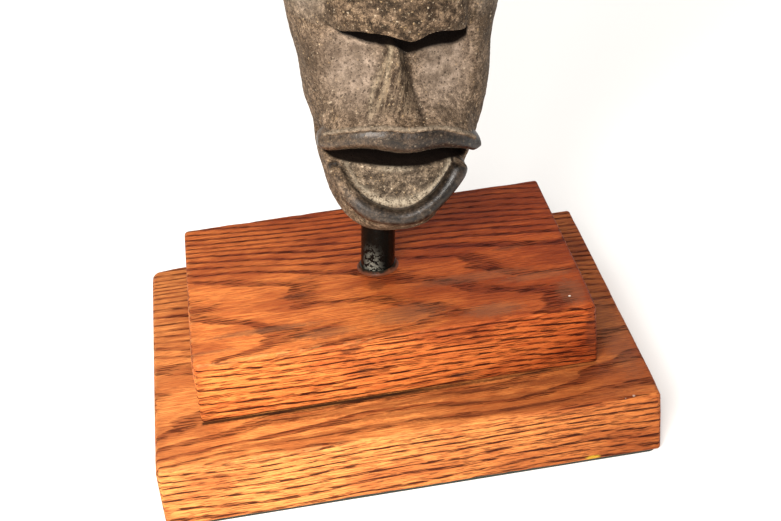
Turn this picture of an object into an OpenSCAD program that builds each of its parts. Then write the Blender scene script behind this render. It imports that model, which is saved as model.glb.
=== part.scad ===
// Small display mask on a leaning steel post, glued into a two-step oak plinth.
// Frame: millimetres, +Z up, origin at the middle of the plinth's underside.
// The mask looks along -Y.

/* [Plinth] */
// Width of the lower board, along X
lower_w = 133.4; // [120:0.1:160]
// Depth of the lower board, along Y
lower_d = 98.4; // [88:0.1:120]
// Width of the upper board
upper_w = 108; // [96:0.1:118]
// Depth of the upper board
upper_d = 70; // [62:0.1:80]
// How far the upper board is set back from the middle
upper_back = 3.2; // [0:0.1:6]
// Thickness of each board
board_t = 19.05; // [17:0.05:22]
// Radius of the boards' eased edges
ease_r = 1; // [0.5:0.1:2]
// Thickness of the felt under the plinth
felt_t = 1; // [0.8:0.1:2]

/* [Screws] */
// Shank diameter of the four countersunk wood screws
screw_d = 4.2; // [3:0.1:5]
// Length of a screw with its head
screw_len = 32; // [27:1:34]
// Half the spacing of the screws along X
screw_x = 38; // [30:1:44]
// Half the spacing of the screws along Y
screw_y = 22; // [18:1:25]

/* [Post] */
// Diameter of the post
post_d = 9.525; // [8:0.005:10.5]
// Sideways lean of the post and the mask, in degrees
lean = 5.5; // [0:0.5:8]
// How deep the post goes into the plinth
post_in = 30; // [22:1:34]
// How far the post stands above the plinth, along its own axis
post_out = 37; // [32:1:38]
// Thickness of the glue round the post in its hole
glue_t = 0.5; // [0.3:0.1:1]

/* [Mask] */
// Height of the mask's crown above the plinth, along the post
mask_top = 138; // [132:1:146]
// Sideways offset of the mask's midline from the post
mask_x = 3; // [0:0.5:4]
// Depth of the mask from its rim to its cheeks
mask_depth = 23; // [21:0.5:25]
// How far the rim stands behind the post's axis
rim_back = 7.5; // [7:0.5:9]
// Wall thickness
wall = 5; // [4:0.5:6]
// How far the nose stands proud of the cheeks
nose_out = 10; // [5:0.5:11]
// How far the lips stand proud
lip_out = 8; // [4:0.5:9]
// Clearance hole for the post in the chin
chin_bore_d = 10.6; // [10.5:0.1:11.5]

/* [Hidden] */
$fn = 48;

z_lower = felt_t;
z_upper = felt_t + board_t;
z_top = felt_t + 2*board_t;
chin_z = 16.6;
cols = 26;
rim_y = rim_back;

// Frame of the post: foot at the middle of the upper board, axis leaning toward +X.
module on_post() translate([0, upper_back, z_top]) rotate([0, lean, 0]) children();

// ---- small tools -------------------------------------------------------

// Rounded rectangle made only of squares and circles.
module soft_rect(a, b, r) {
    square([a - 2*r, b], center = true);
    square([a, b - 2*r], center = true);
    for (sx = [-1, 1], sy = [-1, 1]) translate([sx*(a/2 - r), sy*(b/2 - r)]) circle(r);
}

// Board with every edge eased.
module eased_board(w, d, t, r) {
    intersection() {
        linear_extrude(t) soft_rect(w, d, r);
        translate([0, d/2, t/2]) rotate([90, 0, 0]) linear_extrude(d) soft_rect(w, t, r);
        translate([-w/2, 0, t/2]) rotate([90, 0, 90]) linear_extrude(w) soft_rect(d, t, r);
    }
}

// Half-wave bump: 1 at d = 0, fading to 0 at d = w.
function bump(d, w) = abs(d) >= w ? 0 : (1 + cos(180*d/w))/2;
function clamp01(v) = max(0, min(1, v));
function ramp(v) = clamp01(v)*clamp01(v)*(3 - 2*clamp01(v));

// ---- wood screws -------------------------------------------------------

module screw_body() {
    head = 2.6;
    cylinder(h = 0.4, d = screw_d*2);
    translate([0, 0, 0.4]) cylinder(h = head, d1 = screw_d*2, d2 = screw_d);
    cylinder(h = screw_len - 6, d = screw_d);
    translate([0, 0, screw_len - 6]) cylinder(h = 6, d1 = screw_d, d2 = 0.6);
}

module at_screws() for (sx = [-1, 1], sy = [-1, 1])
    translate([sx*screw_x, upper_back + sy*screw_y, z_lower + 0.3]) children();

module plinth_screws() color("silver") at_screws() difference() {
    screw_body();
    for (a = [0, 90]) rotate(a) translate([-2.4, -0.6, -1]) cube([4.8, 1.2, 2.8]);
}

// Holes that the screws fill, open at the underside.
module screw_holes() at_screws() {
    screw_body();
    translate([0, 0, -2]) cylinder(h = 2.01, d = screw_d*2);
}

// ---- plinth ------------------------------------------------------------

module post_hole() on_post() translate([0, 0, -post_in - glue_t]) cylinder(h = post_in + 20, d = post_d + 2*glue_t);

module lower_plinth() color("sienna") difference() {
    translate([0, 0, z_lower]) eased_board(lower_w, lower_d, board_t, ease_r);
    post_hole();
    screw_holes();
}

module upper_plinth() color("chocolate") difference() {
    translate([0, upper_back, z_upper]) eased_board(upper_w, upper_d, board_t, ease_r);
    post_hole();
    screw_holes();
}

module base_felt() color("darkgreen") linear_extrude(felt_t) soft_rect(lower_w - 2, lower_d - 2, 2);

// ---- post --------------------------------------------------------------

module post() color("#151311") on_post() {
    translate([0, 0, -post_in]) cylinder(h = post_in + post_out - 0.8, d = post_d);
    translate([0, 0, post_out - 0.8]) cylinder(h = 0.8, d1 = post_d, d2 = post_d - 1.6);
}

// Glue: a sleeve in the hole and a small fillet on the board's face.
module post_glue() color("#3a2c22") difference() {
    union() {
        intersection() {
            on_post() translate([0, 0, -post_in - glue_t]) cylinder(h = post_in + 20, d = post_d + 2*glue_t);
            translate([-40, -40, 0]) cube([80, 80, z_top]);
        }
        translate([0, upper_back, z_top]) rotate_extrude()
            polygon([[0, 0], [5.9, 0], [5.6, 0.2], [5.3, 0.55], [5.1, 1.1], [0, 1.1]]);
    }
    on_post() translate([0, 0, -post_in]) cylinder(h = post_in + 20, d = post_d);
}

// ---- mask --------------------------------------------------------------

// Half-width of the mask at height z above the board.
function half_w(z) = lookup(z, [
    [16.6, 9.5], [17.4, 11], [18.8, 12.6], [21.4, 14.6], [24, 16], [27, 17.3], [31, 18.7],
    [36, 20], [42, 21.2], [50, 22.7], [58, 23.8], [64, 24.4], [72, 25.7], [80, 27],
    [90, 28.5], [98, 29], [108, 28.4], [118, 26.2], [126, 22.6], [132, 17.8], [136, 12], [138, 6]]);

// How full the section is, 0 at the ends and 1 in the body.
function fullness(z) =
    z < 28 ? pow(1 - pow(clamp01((28 - z)/13), 2.2), 1/2.2) :
    z > 96 ? pow(1 - pow(clamp01((z - 96)/45), 2.4), 1/2.4) : 1;

// Heights are stretched when the crown is moved.
function stretch(z) = z < 96 ? z : 96 + (z - 96)*(mask_top - 96)/42;

// Relief of the face, outward from the plain shell.
function nose(x, z) = z < 80.5 || z > 119 ? 0 :
    nose_out*ramp((119 - z)/30)*bump(x, 7 + (119 - z)*0.42);
function brow(x, z) = 3.2*bump(z - (111 - 0.008*x*x), 6)*(1 - ramp((abs(x) - 20)/5));
function eye(x, z) = 3.4*sqrt(clamp01(1 - pow((abs(x) - 13)/8.5, 2) - pow((z - 99)/4.6, 2)));
function scoop(x, z) = -3*bump(abs(x) - 12.5, 11)*bump(z - 67, 12);
function ridge(x, z) = 2*bump(x, 3 + (80 - min(80, z))*0.22)*bump(z - 67, 13);
function upper_lip(x, z) = lip_out*(1 - ramp((abs(x) - 19)/3))*(z > 53 ? bump(z - 53, 9) : bump(z - 53, 4));
function u_dist(x, z) = sqrt(pow(x/16.8, 2) + pow((z - 43)/19, 2));
function lower_lip(x, z) = z > 46 ? 0 :
    ramp((46 - z)/3)*(2.6*bump(u_dist(x, z) - 1.05, 0.2) + 2.4*bump(z - 27, 16)*bump(x, 20));
function relief(x, z) = (1 - pow(clamp01(abs(x)/half_w(z)), 8))
    *(nose(x, z) + brow(x, z) + eye(x, z) + scoop(x, z) + ridge(x, z) + upper_lip(x, z) + lower_lip(x, z));

// Rows of the mesh, closer where the face has detail.
rows = concat([16.6, 17.2, 18.4, 20, 22], [for (k = [0:28]) 24 + 2*k], [for (k = [1:9]) 80.1 + 4.9*k], [128.5, 132, 134.5, 136.5, 138]);
n_rows = len(rows);

function outer_point(z, i) = let(
    t = -90 + 180*i/cols,
    x = half_w(z)*sin(t),
    y = rim_y - (mask_depth*pow(max(0, cos(t)), 0.72) + relief(x, z)*(abs(i - cols/2) == cols/2 ? 0 : 1))*fullness(z))
    [mask_x + x, y, stretch(z)];

// The inner wall follows the outer one, but plainly.
function inner_z(z) = 21.6 + (z - 16.6)*(132.6 - 21.6)/(138 - 16.6);
function inner_point(z, i) = let(
    zi = inner_z(z),
    t = -90 + 180*i/cols,
    x = (half_w(zi) - wall)*sin(t),
    y = rim_y - (mask_depth - wall)*pow(max(0, cos(t)), 0.72)*fullness(zi - (zi < 60 ? 1.5 : -2)))
    [mask_x + x, y, stretch(zi)];

// One skin: rows of points joined by triangles; flip turns it inside out.
function skin(base, flip) = [for (j = [0:n_rows - 2], i = [0:cols - 1]) let(
    a = base + j*(cols + 1) + i, b = a + 1, c = a + cols + 1, d = c + 1)
    each (flip ? [[a, c, b], [b, c, d]] : [[a, b, c], [b, d, c]])];

module mask_shell() {
    per = cols + 1;
    n = n_rows*per;
    last = (n_rows - 1)*per;
    pts = concat(
        [for (z = rows, i = [0:cols]) outer_point(z, i)],
        [for (z = rows, i = [0:cols]) inner_point(z, i)]);
    faces = concat(
        skin(0, true), skin(n, false),
        // rim, left and right
        [for (j = [0:n_rows - 2]) each [
            [j*per, n + j*per, (j + 1)*per], [n + j*per, n + (j + 1)*per, (j + 1)*per],
            [j*per + cols, (j + 1)*per + cols, n + j*per + cols],
            [n + j*per + cols, (j + 1)*per + cols, n + (j + 1)*per + cols]]],
        // rim, bottom and top
        [[0, cols, n + cols, n], [last, n + last, n + last + cols, last + cols]],
        // end caps, outer and inner
        [[for (i = [0:cols]) i], [for (i = [cols:-1:0]) last + i],
         [for (i = [cols:-1:0]) n + i], [for (i = [0:cols]) n + last + i]]);
    polyhedron(points = pts, faces = faces, convexity = 12);
}

// The hollow alone, closed at the rim.
module mask_hollow() {
    per = cols + 1;
    last = (n_rows - 1)*per;
    pts = [for (z = rows, i = [0:cols]) inner_point(z, i)];
    faces = concat(skin(0, true),
        [for (j = [0:n_rows - 2]) each [[j*per, j*per + cols, (j + 1)*per], [j*per + cols, (j + 1)*per + cols, (j + 1)*per]]],
        [[for (i = [0:cols]) i], [for (i = [cols:-1:0]) last + i]]);
    polyhedron(points = pts, faces = faces, convexity = 8);
}

// Mouth opening between the lips, cut from front to hollow.
module mouth_slot() translate([mask_x, -8, 0]) rotate([90, 0, 0]) linear_extrude(24)
    polygon([[-21, 46.4], [-16, 44.4], [-9, 43.6], [-3, 42], [1, 41.2], [6, 41.6], [12, 42.6], [17, 42.8],
             [17.6, 47], [12, 48.4], [6, 47.9], [0, 47.8], [-6, 49], [-13, 49.6], [-20, 49]]);

// Slot under the nose, open to the hollow.
module nose_slot() translate([mask_x, -8, 0]) rotate([90, 0, 0]) linear_extrude(24)
    polygon([[-17, 80.6], [-13, 78.8], [-8, 77.4], [-3, 76], [0, 75], [3, 75.4], [8, 76.4], [12, 76.6], [14.4, 78],
             [14, 80.2], [8, 80.2], [3, 79.6], [0, 79.2], [-4, 80.2], [-9, 81.2], [-15, 81.8]]);

module mask() color("#6f604f") on_post() difference() {
    mask_shell();
    mouth_slot();
    nose_slot();
    translate([0, 0, 10]) cylinder(h = 14, d = chin_bore_d);
}

// Filler that holds the post in the jaw: a plug in the hollow and a collar in the chin hole.
module chin_putty() color("#4a4038") on_post() difference() {
    union() {
        intersection() {
            mask_hollow();
            translate([-30, -30, 0]) cube([60, 60, 33]);
        }
        translate([0, 0, chin_z]) cylinder(h = 8, d = chin_bore_d);
    }
    translate([0, 0, 0]) cylinder(h = 40, d = post_d);
}

lower_plinth();
upper_plinth();
base_felt();
plinth_screws();
post();
post_glue();
mask();
chin_putty();
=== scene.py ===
import bpy
import bmesh
import math
import numpy as np
from mathutils import Vector, Matrix


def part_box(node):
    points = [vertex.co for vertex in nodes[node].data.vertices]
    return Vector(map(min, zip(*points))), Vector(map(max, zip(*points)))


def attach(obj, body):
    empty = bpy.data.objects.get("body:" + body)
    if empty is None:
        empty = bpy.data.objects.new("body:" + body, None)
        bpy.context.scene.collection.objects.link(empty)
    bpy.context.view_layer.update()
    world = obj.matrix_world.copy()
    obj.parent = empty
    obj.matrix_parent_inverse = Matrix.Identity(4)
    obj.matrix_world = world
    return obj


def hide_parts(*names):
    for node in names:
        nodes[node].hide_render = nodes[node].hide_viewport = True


# A small hollow face mask on a leaning painted post, glued into a two-step stained oak plinth.
# Everything is in metres in the CAD frame; the modelling below works in millimetres and is
# scaled at the end.

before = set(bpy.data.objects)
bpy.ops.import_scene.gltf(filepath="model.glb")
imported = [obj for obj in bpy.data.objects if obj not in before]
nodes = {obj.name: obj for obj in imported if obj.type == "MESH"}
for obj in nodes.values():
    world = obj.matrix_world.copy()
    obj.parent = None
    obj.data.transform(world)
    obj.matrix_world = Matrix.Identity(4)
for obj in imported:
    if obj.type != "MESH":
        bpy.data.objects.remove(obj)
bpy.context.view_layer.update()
MM = 0.001
scene = bpy.context.scene
scene.view_settings.view_transform = "Standard"
scene.view_settings.look = "None"

# ------------------------------------------------------------------ camera
cam_data = bpy.data.cameras.new("camera")
cam = bpy.data.objects.new("camera", cam_data)
scene.collection.objects.link(cam)
scene.camera = cam
_r = Vector((0.98603, -0.14525, -0.08159)).normalized()
_f = Vector((0.07970, 0.84134, -0.53460)).normalized()
_r = (_r - _f * _r.dot(_f)).normalized()
_u = _r.cross(_f)
cam.matrix_world = Matrix((
    (_r.x, _u.x, -_f.x, -0.02905),
    (_r.y, _u.y, -_f.y, -0.34261),
    (_r.z, _u.z, -_f.z, 0.25975),
    (0, 0, 0, 1)))
cam_data.sensor_fit = "HORIZONTAL"
cam_data.sensor_width = 36.0
cam_data.lens = 1456.7 * 36.0 / 781.0
cam_data.clip_start = 0.01
cam_data.clip_end = 20

# ------------------------------------------------------------------ stage
world = bpy.data.worlds.new("studio")
scene.world = world
world.use_nodes = True
world.node_tree.nodes["Background"].inputs[0].default_value = (1.0, 0.985, 0.965, 1)
world.node_tree.nodes["Background"].inputs[1].default_value = 0.74


def area(name, loc, aim, size, power, colour=(1, 1, 1)):
    d = bpy.data.lights.new(name, "AREA")
    d.shape = "DISK"
    d.size = size
    d.energy = power
    d.color = colour
    o = bpy.data.objects.new(name, d)
    scene.collection.objects.link(o)
    o.location = loc
    o.rotation_euler = (Vector(aim) - Vector(loc)).to_track_quat("-Z", "Y").to_euler()
    return o


area("key", (-0.23, -0.43, 0.35), (0, 0, 0.06), 0.26, 4.85, (1.0, 0.955, 0.90))
area("front", (-0.05, -0.38, 0.33), (0, 0, 0.07), 0.06, 1.0, (1.0, 0.97, 0.93))
area("fill", (0.30, 0.75, 0.80), (0, 0, 0.05), 0.8, 2.5, (1.0, 0.97, 0.94))

floor_mesh = bpy.data.meshes.new("floor")
floor_mesh.from_pydata([(-6, -6, 0), (6, -6, 0), (6, 6, 0), (-6, 6, 0)], [], [(0, 1, 2, 3)])
floor = bpy.data.objects.new("floor", floor_mesh)
scene.collection.objects.link(floor)
fm = bpy.data.materials.new("floor")
fm.use_nodes = True
fm.node_tree.nodes["Principled BSDF"].inputs["Base Color"].default_value = (0.93, 0.92, 0.905, 1)
fm.node_tree.nodes["Principled BSDF"].inputs["Roughness"].default_value = 0.75
fm.node_tree.nodes["Principled BSDF"].inputs["Specular IOR Level"].default_value = 0.2
floor_mesh.materials.append(fm)

# ------------------------------------------------------------------ small maths


def clamp(v, a=0.0, b=1.0):
    return np.minimum(np.maximum(v, a), b)


def ramp(v):
    v = clamp(v)
    return v * v * (3 - 2 * v)


def table(points, soft=0.0):
    """A curve through listed points, softened with a small gaussian."""
    xs = np.array([p[0] for p in points], float)
    ys = np.array([p[1] for p in points], float)
    if not soft:
        return lambda v: np.interp(v, xs, ys)
    step = soft / 4
    t = np.arange(xs[0] - 4 * soft, xs[-1] + 4 * soft, step)
    raw = np.interp(t, xs, ys)
    k = np.exp(-0.5 * (np.arange(-12, 13) * step / soft) ** 2)
    sm = np.convolve(np.pad(raw, 12, mode="edge"), k / k.sum(), mode="valid")
    return lambda v: np.interp(v, t, sm)


def smin(a, b, k):
    h = clamp(0.5 + 0.5 * (b - a) / k)
    return b * (1 - h) + a * h - k * h * (1 - h)


def smax(a, b, k):
    return -smin(-a, -b, k)


def _hash(i, j, k, seed):
    n = (i * 374761393 + j * 668265263 + k * 1440662683 + seed * 1013904223) & 0xFFFFFFFF
    n = ((n ^ (n >> 13)) * 1274126177) & 0xFFFFFFFF
    n = ((n ^ (n >> 16)) * 2246822519) & 0xFFFFFFFF
    return ((n ^ (n >> 15)) & 0xFFFFFF).astype(np.float64) / 0xFFFFFF


def vnoise(p, size, seed=0):
    """Smooth value noise in -1..1 at points p (N,3); size is the feature size in mm."""
    q = p / np.asarray(size, float) + 512.37
    i = np.floor(q).astype(np.int64)
    f = q - i
    f = f * f * f * (f * (f * 6 - 15) + 10)
    out = 0
    for a in (0, 1):
        wa = f[:, 0] if a else 1 - f[:, 0]
        for b in (0, 1):
            wb = f[:, 1] if b else 1 - f[:, 1]
            for c in (0, 1):
                wc = f[:, 2] if c else 1 - f[:, 2]
                out = out + wa * wb * wc * _hash(i[:, 0] + a, i[:, 1] + b, i[:, 2] + c, seed)
    return out * 2 - 1


def fbm(p, size, octaves=3, seed=0, gain=0.5):
    out, amp, tot = 0, 1.0, 0.0
    for o in range(octaves):
        out = out + amp * vnoise(p, np.asarray(size, float) / (2 ** o), seed + 17 * o)
        tot += amp
        amp *= gain
    return out / tot


def make_object(name, verts_m, faces, smooth=True):
    me = bpy.data.meshes.new(name)
    me.from_pydata([tuple(v) for v in verts_m], [], [tuple(int(i) for i in f) for f in faces])
    me.update()
    if smooth:
        me.polygons.foreach_set("use_smooth", np.ones(len(me.polygons), bool))
    o = bpy.data.objects.new(name, me)
    scene.collection.objects.link(o)
    return o


def make_mesh_arrays(name, verts_m, quads, tris=None):
    """Fast mesh from numpy arrays."""
    tris = np.zeros((0, 3), int) if tris is None else tris
    me = bpy.data.meshes.new(name)
    me.vertices.add(len(verts_m))
    me.vertices.foreach_set("co", np.asarray(verts_m, np.float32).ravel())
    nl = len(quads) * 4 + len(tris) * 3
    me.loops.add(nl)
    me.loops.foreach_set("vertex_index", np.concatenate([np.asarray(quads).ravel(), np.asarray(tris).ravel()]).astype(np.int32))
    me.polygons.add(len(quads) + len(tris))
    starts = np.concatenate([np.arange(len(quads)) * 4, len(quads) * 4 + np.arange(len(tris)) * 3]).astype(np.int32)
    me.polygons.foreach_set("loop_start", starts)
    me.polygons.foreach_set("use_smooth", np.ones(len(quads) + len(tris), bool))
    me.update(calc_edges=True)
    me.validate()
    o = bpy.data.objects.new(name, me)
    scene.collection.objects.link(o)
    return o


def add_attribute(me, name, values):
    a = me.attributes.new(name, "FLOAT", "POINT")
    a.data.foreach_set("value", np.asarray(values, np.float32))


# ------------------------------------------------------------------ material graph helper


class Graph:
    def __init__(self, name):
        self.mat = bpy.data.materials.new(name)
        self.mat.use_nodes = True
        self.nt = self.mat.node_tree
        self.bsdf = self.nt.nodes["Principled BSDF"]
        tc = self.nt.nodes.new("ShaderNodeTexCoord")
        self.coord, self.normal = tc.outputs["Object"], tc.outputs["Normal"]

    def link(self, a, b):
        self.nt.links.new(a, b)

    def put(self, socket, v):
        if isinstance(v, bpy.types.NodeSocket):
            self.link(v, socket)
        else:
            socket.default_value = v

    def math(self, op, a, b=0.0, c=None, clamp=False):
        n = self.nt.nodes.new("ShaderNodeMath")
        n.operation = op
        n.use_clamp = clamp
        self.put(n.inputs[0], a)
        self.put(n.inputs[1], b)
        if c is not None:
            self.put(n.inputs[2], c)
        return n.outputs[0]

    def add(self, a, b): return self.math("ADD", a, b)
    def sub(self, a, b): return self.math("SUBTRACT", a, b)
    def mul(self, a, b): return self.math("MULTIPLY", a, b)
    def div(self, a, b): return self.math("DIVIDE", a, b)

    def vmath(self, op, a, b=(0, 0, 0)):
        n = self.nt.nodes.new("ShaderNodeVectorMath")
        n.operation = op
        self.put(n.inputs[0], a)
        self.put(n.inputs[1], b)
        return n.outputs[0]

    def xyz(self, v):
        n = self.nt.nodes.new("ShaderNodeSeparateXYZ")
        self.link(v, n.inputs[0])
        return n.outputs[0], n.outputs[1], n.outputs[2]

    def vec(self, x, y, z):
        n = self.nt.nodes.new("ShaderNodeCombineXYZ")
        self.put(n.inputs[0], x)
        self.put(n.inputs[1], y)
        self.put(n.inputs[2], z)
        return n.outputs[0]

    def noise(self, v, scale=1.0, detail=2.0, rough=0.5, distortion=0.0):
        n = self.nt.nodes.new("ShaderNodeTexNoise")
        self.link(v, n.inputs["Vector"])
        n.inputs["Scale"].default_value = scale
        n.inputs["Detail"].default_value = detail
        n.inputs["Roughness"].default_value = rough
        n.inputs["Distortion"].default_value = distortion
        return n.outputs["Fac"]

    def voronoi(self, v, scale=1.0, feature="F1", out="Distance", rand=1.0):
        n = self.nt.nodes.new("ShaderNodeTexVoronoi")
        n.feature = feature
        self.link(v, n.inputs["Vector"])
        n.inputs["Scale"].default_value = scale
        n.inputs["Randomness"].default_value = rand
        return n.outputs[out]

    def white(self, v):
        n = self.nt.nodes.new("ShaderNodeTexWhiteNoise")
        n.noise_dimensions = "3D"
        self.link(v, n.inputs["Vector"])
        return n.outputs["Value"]

    def step(self, v, lo, hi, a=0.0, b=1.0):
        """Smooth step from lo to hi."""
        n = self.nt.nodes.new("ShaderNodeMapRange")
        n.interpolation_type = "SMOOTHSTEP"
        self.put(n.inputs["Value"], v)
        self.put(n.inputs["From Min"], lo)
        self.put(n.inputs["From Max"], hi)
        self.put(n.inputs["To Min"], a)
        self.put(n.inputs["To Max"], b)
        return n.outputs["Result"]

    def mix(self, fac, a, b, blend="MIX"):
        n = self.nt.nodes.new("ShaderNodeMix")
        n.data_type = "RGBA"
        n.blend_type = blend
        self.put(n.inputs["Factor"], fac)
        for s, v in ((n.inputs["A"], a), (n.inputs["B"], b)):
            pass
        sa = [s for s in n.inputs if s.name == "A" and s.type == "RGBA"][0]
        sb = [s for s in n.inputs if s.name == "B" and s.type == "RGBA"][0]
        self.put(sa, a if isinstance(a, bpy.types.NodeSocket) else (*a[:3], 1))
        self.put(sb, b if isinstance(b, bpy.types.NodeSocket) else (*b[:3], 1))
        return [s for s in n.outputs if s.type == "RGBA"][0]

    def attr(self, name):
        n = self.nt.nodes.new("ShaderNodeAttribute")
        n.attribute_name = name
        return n.outputs["Fac"]

    def bump(self, height, strength=0.5, distance=0.0003, normal=None):
        n = self.nt.nodes.new("ShaderNodeBump")
        n.inputs["Strength"].default_value = strength
        n.inputs["Distance"].default_value = distance
        self.link(height, n.inputs["Height"])
        if normal is not None:
            self.link(normal, n.inputs["Normal"])
        return n.outputs["Normal"]


def srgb(r, g, b):
    """Linear colour from 0-255 display values."""
    return tuple(((c / 255) / 12.92 if c / 255 <= 0.04045 else ((c / 255 + 0.055) / 1.055) ** 2.4) for c in (r, g, b))


def use(o, mat):
    o.data.materials.clear()
    o.data.materials.append(mat)


# ------------------------------------------------------------------ the post's frame
top_lo, top_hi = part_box("upper_plinth")
low_lo, low_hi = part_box("lower_plinth")
FOOT = np.array([0.0, (top_lo.y + top_hi.y) / 2, top_hi.z]) / MM
LEAN = math.radians(5.5)
POST = np.array([[math.cos(LEAN), 0, math.sin(LEAN)], [0, 1, 0], [-math.sin(LEAN), 0, math.cos(LEAN)]])
MASK_X = 3.0
RIM_Y = 7.5


def from_post(p):
    """Millimetres in the post's frame to metres in the row frame."""
    return (np.asarray(p) @ POST.T + FOOT) * MM


# ------------------------------------------------------------------ the mask
# x is measured from the mask's midline, y and z along the post's frame; all in mm.
half_left = table([(14.6, 0), (15.2, 6), (16.4, 9.6), (18.4, 12.3), (21.4, 14.5), (24.2, 16.1), (26.4, 17.0), (30.3, 17.9),
                   (33.4, 18.8), (37.3, 19.6), (40, 20.0), (44, 20.2), (48, 21.2), (52, 22.5), (57.7, 23.3), (63.3, 24.1), (67.7, 25.1),
                   (70, 25.8), (74.5, 26.7), (80, 27.5), (88, 28.4), (98, 29), (108, 28.4), (118, 26.2), (126, 22.6),
                   (132, 17.8), (136, 12), (138, 6), (138.6, 0)], 0.8)
half_right = table([(14.6, 0), (15.2, 5.4), (16.4, 8.6), (17.8, 10.8), (20.5, 12.8), (23.7, 14.4), (26.2, 16.0), (29.5, 17.9),
                    (32, 20.0), (34.6, 21.2), (37.1, 22.2), (41, 23.5), (43.5, 24.1), (45.5, 24.5), (47.3, 24.9), (49, 25.3), (52.6, 25.9), (58.3, 26.6), (63.9, 26.7),
                    (68.1, 26.6), (70, 26.7), (75, 27.6), (80.3, 28.4), (88, 29.6), (98, 29.2), (108, 28.3), (118, 26.2),
                    (126, 22.6), (132, 17.8), (136, 12), (138, 6), (138.6, 0)], 0.8)
lip_crest = table([(-23, 48.6), (-21.3, 49.4), (-20, 51), (-14.5, 53.8), (-9.8, 55.2), (-4.3, 55.5), (-0.9, 54.9), (1.3, 54.5),
                   (4.5, 54.8), (9.2, 54.4), (13.3, 52.7), (17.5, 49.9), (21, 46.6), (23, 44.8)], 0.8)
lip_under = table([(-23, 47.2), (-21.6, 45.8), (-20, 45.1), (-18.6, 45.2), (-14.4, 46.9), (-10.3, 47.9), (-7, 47.8), (-4.1, 47.2), (-0.5, 46.5),
                   (3, 46.5), (6.6, 46.9), (10.3, 46.8), (13.7, 45.8), (16.6, 44.5), (19.5, 42.5), (21.0, 42.7), (22.2, 43.6), (23.4, 44.8)], 0.5)
gap_floor = table([(-22, 39.8), (-19.6, 39.3), (-16.5, 39.6), (-13, 40.7), (-9.6, 41.3), (-6.1, 40.9), (-3.2, 40.2), (0.5, 39.7),
                   (3.4, 39.6), (6.4, 39.9), (9.4, 40.4), (12.6, 40.4), (15.9, 39.4), (18.6, 37.8), (21, 37.4)], 0.6)
slot_floor = table([(-19, 80.4), (-17.6, 79.4), (-15.8, 77.9), (-13.7, 78.0), (-11.5, 77.4), (-9.4, 76.9), (-6.5, 76.4),
                    (-3.6, 75.4), (-1.7, 74.7), (0.1, 74.1), (2.1, 73.8), (4, 74.4), (6.4, 74.9), (9.6, 74.9), (12.5, 74.1),
                    (14.6, 74.4), (16.2, 75.4), (18, 76.5)], 0.4)
nose_edge = table([(-24, 84), (-18.5, 80.2), (-17, 79.5), (-15, 80.2), (-12.2, 80.8), (-9.5, 80.8), (-6.7, 80.7), (-4.5, 80.2),
                   (-2.3, 79.3), (-0.1, 78.7), (1.8, 79.0), (3.7, 79.8), (6, 80.2), (8.8, 79.6), (11.7, 78.4), (14, 77.8),
                   (16, 78.2), (18, 79.5), (24, 84)], 0.5)
ROLL = [(-17.2, -13.2, 42.0), (-16.3, -14.8, 38.4), (-14.0, -16.6, 34.2), (-11.0, -18.0, 30.9), (-7.4, -19.2, 28.5),
        (-3.2, -19.9, 27.2), (0.6, -20.1, 26.9), (4.4, -19.8, 27.5), (8.2, -19.0, 29.6), (11.6, -17.8, 32.4), (14.3, -16.2, 35.4),
        (16.0, -14.8, 37.9), (16.7, -13.6, 39.7)]
D_FRONT = 23.0


def lip_front(x):
    return -25 + 9 * (np.abs(x) / 21) ** 2.5


def fullness(z, z_low, l_low, z_high, l_high):
    a = (1 - clamp((z_low - z) / l_low) ** 2.3) ** (1 / 2.3)
    b = (1 - clamp((z - z_high) / l_high) ** 2.4) ** (1 / 2.4)
    return np.where(z < z_low, a, np.where(z > z_high, b, 1.0))


def gauss(d, s):
    return np.exp(-(d / s) ** 2)


def ridge_parts(x, z):
    crest = -1.4 + (75 - z) * 0.045
    left = 2.0 + clamp(75 - z, 0, 20) * 0.36
    right = np.interp(z, [54, 57, 63.5, 69, 75], [5.6, 5.0, 3.6, 2.6, 1.3])
    t = np.where(x < crest, 1 - (crest - x) / left, 1 - (x - crest) / right)
    return crest, left, right, ramp(t)


def base_depth(x, z, wl, wr):
    """Depth of the plain shell from the rim plane, as a height field over (x, z)."""
    u = clamp(np.where(x < 0, -x / wl, x / wr), 0, 0.999)
    return D_FRONT * fullness(z, 24.0, 9.2, 94, 44.6) * (1 - u ** 3) ** 0.4, u


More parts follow.
